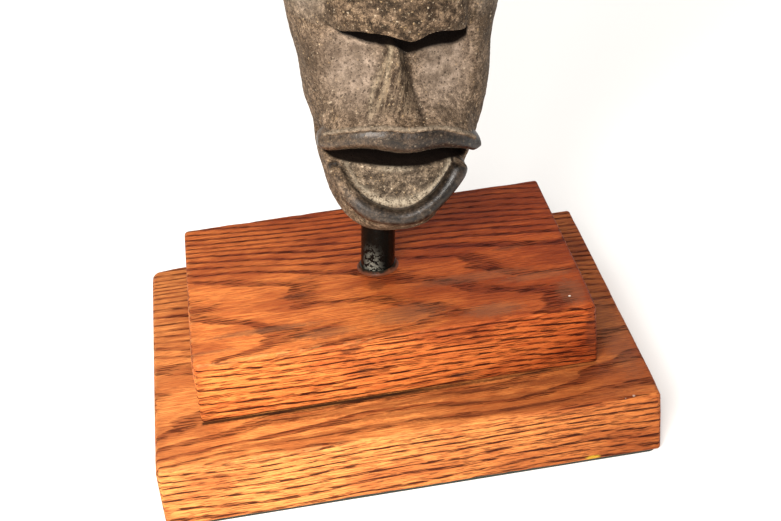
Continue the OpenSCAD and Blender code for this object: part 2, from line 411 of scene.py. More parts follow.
def lower_relief(x, z, base, u):
    """Cheek panels, philtrum, lip flare and jaw."""
    fade = 1 - u ** 7
    r = 0
    r = r - 3.1 * np.exp(-(np.abs((x + 11.8) / 7.2)) ** 2.6 - (np.abs((z - 67.5) / 9.5)) ** 2.6)
    r = r - 2.9 * np.exp(-(np.abs((x - 11.4) / 7.6)) ** 2.8 - (np.abs((z - 67.0) / 9.8)) ** 2.6)
    # cheek band beside each panel stands slightly proud
    r = r + 0.7 * gauss(np.abs(x) - 20.5, 2.4) * gauss(z - 67, 12)
    crest, left, right, t = ridge_parts(x, z)
    zw = ramp((z - 55) / 5) * ramp((80 - z) / 3)
    rr = 3.3 * t * zw
    rr = rr - 1.25 * gauss(x - (crest + right + 0.1), 0.8) * ramp((z - 51) / 5) * ramp((77 - z) / 3)
    rr = rr - 0.4 * gauss(x - (crest - left * 0.85), 1.0) * zw
    # flare out to the crest of the upper lip
    zc = lip_crest(x)
    reach = clamp(-lip_front(x) + RIM_Y - 0.6 - base, 0, 14)
    above = np.exp(-clamp(z - zc, 0, 60) / 3.6)
    below = ramp(1 - (zc - z) / 1.6)
    flare = reach * np.where(z > zc, above, below) * (1 - ramp((np.abs(x) - 17.2) / 4.0))
    r = r * fade * (1 - 0.75 * np.where(z > zc, above, 1.0) * (z > 45)) + flare
    r = r + rr * fade * (1 - 0.55 * np.where(z > zc, above, 1.0))
    # jaw: the dish inside the lower lip
    jaw = np.exp(-(np.abs(x) / 15.5) ** 4) * ramp((44.5 - z) / 3) * ramp((z - 19) / 5)
    dish = 2.6 - 1.5 * np.exp(-(x / 9.5) ** 2 - ((z - 35.2) / 5.2) ** 2) + 0.5 * gauss(z - 41.0, 1.4)
    r = r + jaw * dish * (z < 46)
    return r


def upper_relief(x, z, base, u):
    """Nose, brow, eyes and forehead."""
    fade = 1 - u ** 8
    hw = np.interp(z, [70, 82, 88, 96, 104, 112, 120], [18.4, 18.2, 17.0, 13.0, 9.4, 7.4, 6.5])
    h = np.interp(z, [70, 84, 92, 100, 108, 114, 122], [1.0, 0.97, 0.85, 0.68, 0.46, 0.27, 0]) * 10.4
    s = (x + 0.8 * ramp((96 - z) / 12)) / hw
    end = np.where(s < 0, ramp((1.06 - np.abs(s)) / 0.24), ramp((1.03 - np.abs(s)) / 0.15))
    r = h * (1 - 0.74 * clamp(np.abs(s)) ** 2) * end
    r = r - 0.6 * gauss(np.abs(s) - 1.06, 0.07) * ramp((110 - z) / 10)
    # cheek lobes
    r = r + 1.3 * np.exp(-(np.abs((np.abs(x) - 22.3) / 4.2)) ** 3 - (np.abs((z - 90) / 10.5)) ** 3)
    # brow
    zb = 112.5 - 0.011 * x * x
    r = r + 3.6 * gauss(z - zb, 2.7) * (1 - ramp((np.abs(x) - 20) / 6)) * (0.8 + 0.2 * ramp((np.abs(x) - 3) / 3))
    # eye sockets and closed lids
    ax = np.abs(x) - 13.2
    r = r - 4.2 * np.exp(-(np.abs(ax / 8.8)) ** 3 - (np.abs((z - 102.3) / 6.8)) ** 3)
    e = 1 - (ax / 7.6) ** 2 - ((z - 101.6 + 0.012 * ax * ax) / 4.0) ** 2
    r = r + 5.2 * np.sqrt(clamp(e))
    slit = gauss(z - (100.9 - 0.018 * ax * ax), 0.55) * ramp((8.0 - np.abs(ax)) / 2)
    r = r - 1.9 * slit
    # low band across the forehead
    r = r + 0.7 * gauss(z - (126 - 0.016 * x * x), 1.5)
    return r * fade


def front_y(x, z, relief):
    """Y of the front skin at (x, z)."""
    base, u = base_depth(x, z, np.maximum(half_left(z), 0.3), np.maximum(half_right(z), 0.3))
    return RIM_Y - base - relief(x, z, base, u)


def refit(edge, y_guess, relief, drop):
    """Moves an edge drawn at a guessed depth onto the skin, along the line of sight."""
    xs = np.arange(-24, 24.01, 0.5)
    want = 0.5206 * y_guess(xs) + 0.8412 * edge(xs)
    z = edge(xs)
    for _ in range(30):
        z = 0.6 * z + 0.4 * (want - 0.5206 * front_y(xs, z + drop, relief)) / 0.8412
    return table(list(zip(xs, z)), 0.5)


def grid_distance(f, vox):
    gx, gy, gz = np.gradient(f, vox)
    return f / np.maximum(np.sqrt(gx * gx + gy * gy + gz * gz), 0.015)


def polyline_distance(X, Y, Z, pts, radii):
    """Distance to a chain of capsules with changing radius."""
    best = None
    for (a, ra), (b, rb) in zip(zip(pts[:-1], radii[:-1]), zip(pts[1:], radii[1:])):
        a, b = np.array(a, float), np.array(b, float)
        ab = b - a
        t = clamp(((X - a[0]) * ab[0] + (Y - a[1]) * ab[1] + (Z - a[2]) * ab[2]) / (ab @ ab))
        d = np.sqrt((X - a[0] - t * ab[0]) ** 2 + (Y - a[1] - t * ab[1]) ** 2 + (Z - a[2] - t * ab[2]) ** 2) - (ra + (rb - ra) * t)
        best = d if best is None else np.minimum(best, d)
    return best


def catmull(pts, n):
    p = np.array(pts, float)
    p = np.vstack([2 * p[0] - p[1], p, 2 * p[-1] - p[-2]])
    out = []
    for i in range(1, len(p) - 2):
        for k in range(n):
            t = k / n
            out.append(0.5 * (2 * p[i] + (p[i + 1] - p[i - 1]) * t + (2 * p[i - 1] - 5 * p[i] + 4 * p[i + 1] - p[i + 2]) * t * t
                              + (3 * p[i] - p[i - 1] - 3 * p[i + 1] + p[i + 2]) * t ** 3))
    out.append(p[-2])
    return out


def lip_solid(X, Y, Z):
    """The roll of the upper lip: a rounded bar whose ends taper round."""
    top, bot = lip_crest(X) + 0.1, lip_under(X)
    end = np.sqrt(clamp(1 - (clamp((np.abs(X - 0.3) - 17.6) / 3.9)) ** 2, 0.0004, 1))
    a = 4.6 * (0.30 + 0.70 * end)
    h = np.maximum((top - bot) / 2, 0.4) * (0.45 + 0.55 * end)
    yc = lip_front(X) + a
    zm = (top + bot) / 2 - (1 - end) * 0.4
    q = ((np.abs(Y - yc) / a) ** 2.1 + (np.abs(Z - zm) / h) ** 2.1) ** (1 / 2.1)
    f = (q - 1) * np.minimum(a, h)
    return np.maximum(f, np.abs(X - 0.3) - 21.4)


def moved(t, dx, dz):
    return lambda x: t(np.asarray(x, float) - dx) + dz


nose_edge = refit(moved(nose_edge, 1.3, -0.8), lambda x: -26 + 9 * (np.abs(x + 1) / 17) ** 2, upper_relief, 0.6)
slot_floor = refit(moved(slot_floor, 1.3, 0.1), lambda x: -20.5 + 4.9 * (np.abs(x) / 16) ** 2, lower_relief, -0.4)
_n = nose_edge(np.arange(-24, 24.01, 0.5))
_s = np.minimum(slot_floor(np.arange(-24, 24.01, 0.5)), _n - 0.3)
slot_floor = table(list(zip(np.arange(-24, 24.01, 0.5), _s)))
print("edges", [(x, round(float(nose_edge(x)), 1), round(float(slot_floor(x)), 1)) for x in (-18, -14, -8, 0, 8, 14, 17)])


def build_mask():
    vox = 0.36
    xs = np.arange(-31, 31.01, vox)
    ys = np.arange(-30.5, 10.01, vox)
    zs = np.arange(12.5, 140.6, vox)
    x2, z2 = np.meshgrid(xs, zs, indexing="ij")
    wl, wr = np.maximum(half_left(zs), 0.3)[None, :], np.maximum(half_right(zs), 0.3)[None, :]
    base, u = base_depth(x2, z2, wl, wr)
    low = lower_relief(x2, z2, base, u)
    up = upper_relief(x2, z2, base, u)
    full = np.maximum(fullness(z2, 24.0, 9.2, 94, 44.6), 0.02)
    w2 = np.where(x2 < 0, wl, wr)
    uu = (np.abs(x2) / w2) ** 3
    d3 = (RIM_Y - ys)[None, :, None]
    X, Y, Z = xs[:, None, None], ys[None, :, None], zs[None, None, :]

    def shell(relief):
        d = d3 - relief[:, None, :] * clamp(d3 / 9)
        return grid_distance(uu[:, None, :] + (clamp(d, 0, 60) / (D_FRONT * full[:, None, :])) ** 2.5 - 1, vox)

    f = smax(shell(low), Z - 89.0, 4.0)
    f_up = smax(shell(up), nose_edge(X) - Z, 1.6)
    f = smin(f, f_up, 0.9)
    # upper lip roll, in its own block
    i0, i1 = np.searchsorted(xs, [-24, 24])
    k0, k1 = np.searchsorted(zs, [38, 60])
    blk = (slice(i0, i1), slice(None), slice(k0, k1))
    f[blk] = smin(f[blk], lip_solid(X[i0:i1], Y, Z[:, :, k0:k1]), 0.7)
    # thin crest line along the lip's upper edge
    cx = np.linspace(-19.5, 19.5, 40)
    crest = np.stack([cx, lip_front(cx) + 0.55, lip_crest(cx) - 0.5], 1)
    f[blk] = smin(f[blk], polyline_distance(X[i0:i1], Y, Z[:, :, k0:k1], crest, np.full(40, 0.6)), 0.5)
    # lower lip roll
    k0, k1 = np.searchsorted(zs, [20, 47])
    blk = (slice(i0, i1), slice(None), slice(k0, k1))
    path = catmull(ROLL, 4)
    tt = np.linspace(0, 1, len(path))
    rad = 2.35 * np.minimum(0.62 + 0.38 * ramp(tt / 0.34), 0.78 + 0.22 * ramp((1 - tt) / 0.12)) + 0.12 * np.sin(tt * 23.0)
    f[blk] = smin(f[blk], polyline_distance(X[i0:i1], Y, Z[:, :, k0:k1], path, rad), 0.8)
    for k in (1.0, 2.0, 3.0):
        back = [q + np.array([0, 2.6 * k, -1.25 * k]) for q in path]
        f[blk] = smin(f[blk], polyline_distance(X[i0:i1], Y, Z[:, :, k0:k1], back, rad * (1 - 0.12 * k)), 0.8)
    # mouth: a cut between the lips through to the hollow
    zl, zu = gap_floor(xs)[:, None, None], (lip_under(xs) - 0.1)[:, None, None]
    cut = np.maximum(np.abs(Z - (zl + zu) / 2) - (zu - zl) / 2, np.maximum(-20.4 - X, X - 18.9))
    cut = np.maximum(cut, Y - 3)
    side = np.maximum(np.maximum(np.abs(Z - (zl + zu) / 2) - (zu - zl) / 2, Y + 10), np.maximum(16 - X, X - 24))
    f = smax(f, -np.minimum(cut, side), 0.9)
    # slot under the nose, through to the hollow
    zl, zu = slot_floor(xs)[:, None, None], (nose_edge(xs) - 0.05)[:, None, None]
    cut = np.maximum(np.abs(Z - (zl + zu) / 2) - (zu - zl) / 2, np.maximum(-16.9 - X, X - 17.2))
    cut = np.maximum(cut, Y - 3)
    f = smax(f, -cut, 0.6)
    # the hollow
    full_in = np.maximum(fullness(z2, 30, 8.6, 94, 38.8), 0.0)
    wi = np.maximum(w2 - 5, 0.3)
    hin = (np.abs(x2) / wi) ** 3
    d_in = 16.0 + 2.0 * ramp((z2 - 82) / 6)
    d_in = d_in - 7.5 * ramp((z2 - 54) / 6) * ramp((80 - z2) / 4) - 4.5 * ramp((z2 - 26) / 4) * ramp((46 - z2) / 4)
    d = clamp(d3, 0, 60) / np.maximum((d_in * full_in)[:, None, :], 0.3)
    f_in = grid_distance(hin[:, None, :] + d ** 2.5 - 1, vox)
    f_in = smax(f_in, smax(21.4 - Z, Z - 132.8, 0.1), 1.5)
    f = smax(f, -f_in, 0.8)
    # nothing outside the outline at the crown and under the chin
    f = np.maximum(f, np.where((Z > 112) | (Z < 19), np.abs(X) - w2[:, None, :] - 0.6, -50.0))
    f = smax(f, np.maximum(Z - 138.2, 14.6 - Z), 1.2)
    # rim plane, a little uneven, and the post's hole in the chin
    wob = 0.35 * np.sin(X * 0.21 + 1.3) * np.cos(Z * 0.09) + 0.2 * np.sin(Z * 0.31 + X * 0.12)
    f = smax(f, Y - (RIM_Y + wob - 0.3), 1.3)
    bore = np.maximum(np.sqrt((X + MASK_X) ** 2 + Y ** 2) - 5.3, Z - 25)
    f = smax(f, -bore, 0.4)
    import openvdb
    g = openvdb.FloatGrid(4.0)
    g.copyFromArray(np.ascontiguousarray(np.clip(f, -4, 4).astype(np.float32)))
    pts, tris, quads = g.convertToPolygons(isovalue=0.0, adaptivity=0.0)
    pts = pts * vox + np.array([xs[0], ys[0], zs[0]])
    return pts, tris, quads


def keep_largest(pts, quads, tris):
    """Drops specks that aren't joined to the mask."""
    n = len(pts)
    lab = np.arange(n)
    e = [quads[:, [0, 1]], quads[:, [1, 2]], quads[:, [2, 3]]]
    if len(tris):
        e += [tris[:, [0, 1]], tris[:, [1, 2]]]
    e = np.concatenate(e)
    while True:
        m = np.minimum(lab[e[:, 0]], lab[e[:, 1]])
        new = lab.copy()
        np.minimum.at(new, e[:, 0], m)
        np.minimum.at(new, e[:, 1], m)
        new = new[new]
        if (new == lab).all():
            break
        lab = new
    ids, counts = np.unique(lab, return_counts=True)
    keep = lab == ids[counts.argmax()]
    remap = np.cumsum(keep) - 1
    quads = remap[quads[keep[quads[:, 0]]]]
    tris = remap[tris[keep[tris[:, 0]]]] if len(tris) else tris
    return pts[keep], quads, tris


def vertex_normals(pts, quads, tris):
    n = np.zeros_like(pts)
    for f in (quads, tris):
        if len(f) == 0:
            continue
        a, b = pts[f[:, 2]] - pts[f[:, 0]], pts[f[:, -1]] - pts[f[:, 1]]
        c = np.cross(a, b)
        for k in range(f.shape[1]):
            np.add.at(n, f[:, k], c)
    return n / np.maximum(np.linalg.norm(n, axis=1, keepdims=True), 1e-9)


pts, tris, quads = build_mask()
pts, tris, quads = np.asarray(pts, float), np.asarray(tris, int).reshape(-1, 3), np.asarray(quads, int).reshape(-1, 4)
pts, quads, tris = keep_largest(pts, quads, tris)
nor = vertex_normals(pts, quads, tris)
# faces wound outward: the crown's front must point to -y
probe = nor[np.argmin(pts[:, 1])]
if probe[1] > 0:
    quads, tris, nor = quads[:, ::-1], tris[:, ::-1], -nor

x, y, z = pts[:, 0], pts[:, 1], pts[:, 2]
wl, wr = half_left(z), half_right(z)
bd, uu = base_depth(x, z, wl, wr)
front = RIM_Y - (bd + np.where(z > nose_edge(x), upper_relief(x, z, bd, uu), lower_relief(x, z, bd, uu)))
lipd = np.abs(lip_solid(x, y, z))
path = catmull(ROLL, 3)
rolld = np.abs(polyline_distance(x, y, z, path, np.full(len(path), 2.3)))
w_lip = ramp(1 - lipd / 0.7) * (y < -8) * (y < lip_front(x) + 4.5)
w_roll = ramp(1 - rolld / 0.8) * (z < 44)
u_in = np.sqrt((x / 15.2) ** 2 + ((z - 44.5) / 15.6) ** 2)
w_dish = ramp((1.02 - u_in) / 0.12) * (z < 42.6) * (y < -8) * (1 - w_roll)
w_panel = np.maximum(np.exp(-(np.abs((x + 11.8) / 8.4)) ** 3 - (np.abs((z - 67) / 11.0)) ** 3),
                     np.exp(-(np.abs((x - 11.6) / 8.2)) ** 3 - (np.abs((z - 66.5) / 11.0)) ** 3)) * (z < nose_edge(x))
_c, _l, _r, _t = ridge_parts(x, z)
w_ridge = ramp(np.where(x < _c, 1 - (_c - x) / _l, 1 - (x - _c) / _r) / 0.35) * ramp((z - lip_crest(x) - 0.6) / 3) * (z < nose_edge(x)) * (y < -12)
# painted shade in the creases: beside the ridge, along the lid slits and beside the cut lines
w_crease_shade = gauss(x - (_c + _r + 0.1), 0.75) * ramp((z - 52) / 4) * (z < nose_edge(x)) * (y < -12)
# dark patches at fixed places: painted shade under the brow, the lids and the nose's edge and along the cheek edges,
# mixed with the clay's own dark patches
w_patch_and_shade = np.zeros(len(x))
for gx, gz, sx, sz, amt in ((-21.8, 68, 3.2, 8, 1.0), (22.8, 75, 3.4, 9, 1.0), (-16, 80, 6, 2.4, 0.8), (23.5, 60, 2.2, 6, 0.6), (-22.5, 84, 3, 4, 0.7),
                            (-14, 57.5, 7, 2.2, 0.45), (20.5, 85, 2.6, 4, 0.9), (0, 88, 12, 6, 0.35), (-19, 60, 2.6, 4, 0.5), (14, 79, 4, 1.6, 0.6), (-13, 108, 7, 1.8, 0.7), (13, 108, 7, 1.8, 0.7),
                            (-16.5, 73.5, 3, 3, 0.55), (-9.9, 68.3, 0.8, 2.2, 0.75), (-18.5, 67, 2.2, 3.5, 0.7), (-7.5, 73, 1.0, 2.6, 0.5), (18, 63, 2.5, 3, 0.4),
                            (-14, 95.5, 6, 1.8, 0.5), (14, 95.5, 6, 1.8, 0.5), (0, 131, 12, 4, 0.5)):
    w_patch_and_shade = np.maximum(w_patch_and_shade, amt * np.exp(-((x - gx) / sx) ** 2 - ((z - gz) / sz) ** 2))
w_line = gauss(x - (_c - _l * 0.50), 0.42) * ramp((z - 62) / 4) * ramp((78 - z) / 2) + 0.7 * gauss(x - (_c - _l * 0.9), 0.5) * ramp((z - 55) / 3) * ramp((66 - z) / 4)
w_cut = np.zeros(len(x))
for pl in (((-3.4, 66.0), (-3.9, 63.6), (-4.8, 61.0), (-6.4, 58.4), (-8.4, 56.2)),
           ((-2.9, 71.5), (-4.0, 68.4), (-5.3, 65.2), (-6.2, 62.2))):
    px, pz = np.array(pl, float).T
    tt = np.linspace(0, len(px) - 1, 40)
    sx_, sz_ = np.interp(tt, np.arange(len(px)), px), np.interp(tt, np.arange(len(px)), pz)
    dl = np.full(len(x), 9.0)
    m = (np.abs(x) < 18) & (z > 54) & (z < 80) & (y < -12)
    for a, b in zip(sx_, sz_):
        dl[m] = np.minimum(dl[m], np.hypot(x[m] - a, z[m] - b))
    w_line = np.maximum(w_line, 0.55 * gauss(dl, 0.34))
    w_cut = np.maximum(w_cut, 0.5 * gauss(dl - 0.9, 0.4))
w_line *= (z < nose_edge(x)) * (y < -12)
_ax = np.abs(x) - 13.2
# the dark flanks beside the cut lines join the painted crease shade
w_crease_shade = np.maximum(w_crease_shade, w_cut * (y < -12) * (z < nose_edge(x)))
w_crease_shade = np.maximum(w_crease_shade, gauss(z - (100.9 - 0.018 * _ax * _ax), 0.5) * ramp((7.8 - np.abs(_ax)) / 1.5) * (y < -2))
w_crease_shade = np.maximum(w_crease_shade, 0.55 * gauss(x - (_c - _l * 0.95), 0.5) * ramp((z - 57) / 4) * (z < nose_edge(x)) * (y < -12))
w_lobe = np.exp(-(np.abs((np.abs(x) - 23.0) / 4.6)) ** 3 - (np.abs((z - 91) / 12)) ** 3) * (z > 78)
w_lobe = np.maximum(w_lobe, 0.85 * np.exp(-(_ax / 5.8) ** 4 - ((z - 102.4) / 3.2) ** 4) * (y < -2))
w_lobe = np.maximum(w_lobe, 0.6 * np.exp(-(x / 15) ** 4 - ((z - 122) / 6.5) ** 4) * (y < -2))
w_nose = (z > nose_edge(x)) * np.exp(-(x / 18.5) ** 6) * ramp((97 - z) / 5) * (y < -8)
depth_in = y - front                       # how far behind the outer surface
# near-black colour inside the cuts and the hollow: painted shade standing in for the dark in there
w_hollow_shade = ramp((depth_in - 0.7) / 1.2) * (uu < 0.93) * (y < RIM_Y - 0.5)
w_hollow_shade = np.maximum(w_hollow_shade, ramp((nor[:, 1] - 0.15) / 0.4) * (depth_in > 2.5) * (y < RIM_Y - 1.0))
w_hollow_shade *= ramp((132 - z) / 2)
w_hollow_shade *= 1 - 0.62 * ramp((nor[:, 1] - 0.25) / 0.4) * ramp((0.35 - nor[:, 2]) / 0.3)
# pale line along the upper lip's crest: painted highlight where the edge turns up to the light
cx = np.linspace(-20, 20, 60)
cd = np.full(len(x), 9.0)
near = (z > 44) & (z < 58) & (y < -12)
for i in range(60):
    a = np.sqrt((x[near] - cx[i]) ** 2 + (y[near] - lip_front(cx[i]) - 0.2) ** 2 + (z[near] - lip_crest(cx[i]) - 0.1) ** 2)
    cd[near] = np.minimum(cd[near], a)
w_crest_highlight = ramp((0.95 - cd) / 0.5)
w_lip = w_lip * (1 - w_crest_highlight) * ramp((lip_crest(x) + 0.3 - z) / 0.6)
# the dish's pale flaky rim; the second term adds a painted highlight at the top middle of the dish, under the mouth
th = np.arctan2(z - 44.5, x + 0.0)
w_flake_and_glint = gauss(u_in - 0.945, 0.070) * (0.35 + 0.65 * ramp((th + 2.5) / 0.5) * ramp((-0.15 - th) / 0.3) + 0.25 * gauss(th + 0.75, 0.4)) * (z < 41) * (y < -10) * (1 - ramp((w_roll - 0.25) / 0.4))
w_flake_and_glint = np.maximum(w_flake_and_glint, gauss(x + 1.5, 3.4) * gauss(z - 40.2, 1.1) * (y < -15))
rough = 1 - 0.85 * np.maximum(w_lip, w_roll)
rough *= 1 - 0.35 * w_lobe
disp = 0.16 * fbm(pts, 3.4, 3, 3) * (0.45 + 0.55 * rough) + 0.085 * fbm(pts, 1.1, 2, 11) * rough
disp += 0.22 * fbm(pts, 11.0, 2, 29)
disp *= np.where(z > 24, 1, ramp((z - 17) / 7))
pts_d = pts + nor * disp[:, None]
world_pts = from_post(pts_d + np.array([MASK_X, 0, 0]))
mask = make_mesh_arrays("mask_body", world_pts, quads, tris)
for nm, v in (("w_lip", w_lip), ("w_roll", w_roll), ("w_dish", w_dish), ("w_panel", w_panel), ("w_ridge", w_ridge),
              ("w_crease_shade", w_crease_shade), ("w_patch_and_shade", w_patch_and_shade), ("w_line", w_line), ("w_lobe", w_lobe), ("w_hollow_shade", w_hollow_shade), ("w_crest_highlight", w_crest_highlight), ("w_flake_and_glint", w_flake_and_glint), ("w_nose", w_nose)):
    add_attribute(mask.data, nm, v)
print("mask", len(pts), "points", "normals ok")

g = Graph("mask_clay")
P = g.vmath("SCALE", g.coord)
P.node.inputs["Scale"].default_value = 1000.0
n_big = g.noise(P, 0.10, 3, 0.6)
n_mid = g.noise(P, 0.36, 4, 0.62)
n_fine = g.noise(P, 1.15, 3, 0.6)
n_grit = g.noise(P, 3.2, 2, 0.55)
lip, roll, dish, panel, ridge, lobe, inner_shade = (g.attr(k) for k in ("w_lip", "w_roll", "w_dish", "w_panel", "w_ridge", "w_lobe", "w_hollow_shade"))
x, y, z = g.xyz(P)


def tone(lo, hi, n, a=0.36, b=0.66):
    return g.mix(g.step(n, a, b), lo, hi)


col = tone((0.062, 0.041, 0.025), (0.168, 0.118, 0.078), n_mid)
col = g.mix(g.step(n_big, 0.42, 0.62), col, tone((0.077, 0.053, 0.034), (0.192, 0.138, 0.094), n_mid))
col = g.mix(g.mul(panel, 0.95), col, tone((0.121, 0.089, 0.066), (0.230, 0.177, 0.137), n_mid, 0.32, 0.68))
# painted shade: the ridge gets a darker tone to show its relief
col = g.mix(g.mul(ridge, 0.80), col, tone((0.046, 0.031, 0.020), (0.120, 0.088, 0.060), n_mid))
# painted shade in the creases
col = g.mix(g.mul(g.attr("w_crease_shade"), 0.80), col, (0.022, 0.015, 0.010))
col = g.mix(g.mul(lobe, 0.90), col, tone((0.152, 0.122, 0.093), (0.305, 0.250, 0.198), n_mid, 0.32, 0.68))
col = g.mix(dish, col, tone((0.050, 0.037, 0.026), (0.168, 0.128, 0.090), g.noise(P, 0.40, 4, 0.7), 0.38, 0.68))
# the lips darken towards +X: painted shade on the side away from the light
lipside = g.step(x, -18.0, 20.0)
lipc = g.mix(lipside, tone((0.030, 0.020, 0.011), (0.070, 0.047, 0.029), n_mid), tone((0.006, 0.004, 0.003), (0.020, 0.013, 0.009), n_mid))
col = g.mix(g.mul(lip, 0.95), col, lipc)
rollc = g.mix(lipside, tone((0.012, 0.009, 0.007), (0.050, 0.036, 0.026), n_mid), tone((0.003, 0.0024, 0.002), (0.014, 0.010, 0.0075), n_mid))
col = g.mix(g.mul(roll, 0.97), col, rollc)
# grain at two finer scales
smooth = g.sub(1.0, g.mul(g.math("MAXIMUM", g.math("MAXIMUM", panel, g.mul(dish, 0.5)), lobe), 0.70))
col = g.mix(smooth, col, g.mix(g.step(n_fine, 0.30, 0.70), (0.42, 0.39, 0.36), (1.55, 1.53, 1.50)), "MULTIPLY")
col = g.mix(smooth, col, g.mix(g.step(n_grit, 0.30, 0.70), (0.50, 0.48, 0.46), (1.42, 1.41, 1.40)), "MULTIPLY")
col = g.mix(1.0, col, g.mix(g.step(g.noise(P, 0.19, 3, 0.65), 0.36, 0.64), (0.80, 0.78, 0.75), (1.16, 1.16, 1.16)), "MULTIPLY")
col = g.mix(g.attr("w_nose"), col, g.mix(g.step(n_mid, 0.38, 0.62), (0.46, 0.45, 0.43), (0.86, 0.85, 0.83)), "MULTIPLY")
# painted light and shade: the left side lighter and the right side darker, as if lit from the left
col = g.mix(1.0, col, g.mix(g.step(x, -22.0, -15.0), (1.26, 1.20, 1.15), g.mix(g.step(x, -4.0, 12.0), (1.0, 1.0, 1.0), (0.90, 0.90, 0.905))), "MULTIPLY")
# dark patches: painted shade under the brow, lids and nose and at the cheek edges, with some of the clay's own dark
# patches
dark_patch_shade = g.mul(g.attr("w_patch_and_shade"), g.step(n_mid, 0.34, 0.56, 0.35, 1.0))
col = g.mix(g.mul(dark_patch_shade, 0.85), col, g.mix(n_fine, (0.016, 0.010, 0.006), (0.060, 0.040, 0.024)))
streak = g.noise(g.vmath("MULTIPLY", g.vec(g.add(x, g.mul(z, -0.35)), y, z), (1.7, 0.3, 0.22)), 1.0, 3, 0.65)
col = g.mix(g.mul(g.mul(ridge, 0.75), g.step(streak, 0.50, 0.62)), col, (0.165, 0.118, 0.075))
col = g.mix(g.mul(g.mul(ridge, 0.75), g.step(streak, 0.46, 0.36)), col, (0.022, 0.014, 0.009))
col = g.mix(g.mul(g.attr("w_line"), g.step(n_fine, 0.35, 0.6, 0.3, 0.9)), col, (0.31, 0.24, 0.16))
# painted highlight along the upper lip's crest
col = g.mix(g.mul(g.attr("w_crest_highlight"), g.step(n_mid, 0.30, 0.50, 0.5, 0.85)), col, tone((0.11, 0.084, 0.058), (0.21, 0.165, 0.12), n_fine))
# pale mineral specks and dark pits
calm = g.math("MAXIMUM", g.math("MAXIMUM", g.math("MAXIMUM", roll, g.mul(lip, 0.8)), g.mul(lobe, 0.7)), g.mul(panel, 0.7))
keep = g.sub(1.0, g.mul(calm, 0.9))


def spots(scale, size, share, shift):
    q = g.vmath("ADD", g.vmath("ADD", P, g.vec(g.mul(n_fine, 1.1), g.mul(n_grit, 0.5), g.mul(n_mid, 1.2))), shift)
    d = g.voronoi(q, scale)
    c = g.xyz(g.voronoi(q, scale, out="Color"))[0]
    return g.mul(g.step(d, size, size * 0.45), g.step(c, 1 - share, 1 - share + 0.04))


specks = g.math("MAXIMUM", spots(1.0, 0.34, 0.30, (0, 0, 0)), g.mul(spots(2.1, 0.40, 0.30, (3.1, 5.2, 1.7)), 0.8))
specks = g.mul(specks, keep)
pits = g.math("MAXIMUM", spots(0.9, 0.30, 0.34, (7.3, 1.1, 4.7)), g.mul(spots(1.9, 0.42, 0.32, (2.9, 8.2, 6.6)), 0.8))
pits = g.mul(pits, g.sub(1.0, g.mul(g.math("MAXIMUM", roll, lip), 0.7)))
col = g.mix(g.mul(specks, g.step(n_fine, 0.35, 0.65, 0.25, 0.85)), col, g.mix(g.step(g.noise(P, 0.8, 1, 0.5), 0.4, 0.6), (0.34, 0.225, 0.115), (0.46, 0.37, 0.26)))
col = g.mix(g.mul(pits, 0.65), col, (0.022, 0.015, 0.010))
# pale flakes on the dish rim, with a painted highlight at its top middle
flake_glint = g.mul(g.attr("w_flake_and_glint"), g.step(g.noise(P, 1.1, 4, 0.7), 0.36, 0.52))
col = g.mix(g.mul(flake_glint, 0.9), col, g.mix(n_grit, (0.15, 0.11, 0.07), (0.60, 0.51, 0.38)))
# painted shade: near-black inside the cuts and the hollow
col = g.mix(g.mul(inner_shade, 0.985), col, (0.007, 0.0045, 0.0035))
g.link(col, g.bsdf.inputs["Base Color"])
gloss = g.math("MAXIMUM", roll, g.mul(lip, 0.85))
g.link(g.add(g.sub(0.66, g.mul(gloss, 0.40)), g.mul(n_fine, 0.12)), g.bsdf.inputs["Roughness"])
g.link(g.mul(g.add(0.10, g.mul(gloss, g.sub(0.32, g.mul(lipside, 0.14)))), g.sub(1.0, g.mul(inner_shade, 0.97))), g.bsdf.inputs["Specular IOR Level"])
hgt = g.add(g.mul(n_fine, 0.7), g.add(g.mul(n_grit, 0.3), g.add(g.mul(specks, 0.35), g.mul(pits, -0.8))))
hgt = g.mul(g.add(hgt, g.mul(flake_glint, 0.4)), g.sub(1.0, g.mul(gloss, 0.60)))
g.link(g.bump(hgt, 0.9, 0.00026), g.bsdf.inputs["Normal"])
use(mask, g.mat)
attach(mask, "root")
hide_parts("mask")

# ------------------------------------------------------------------ oak


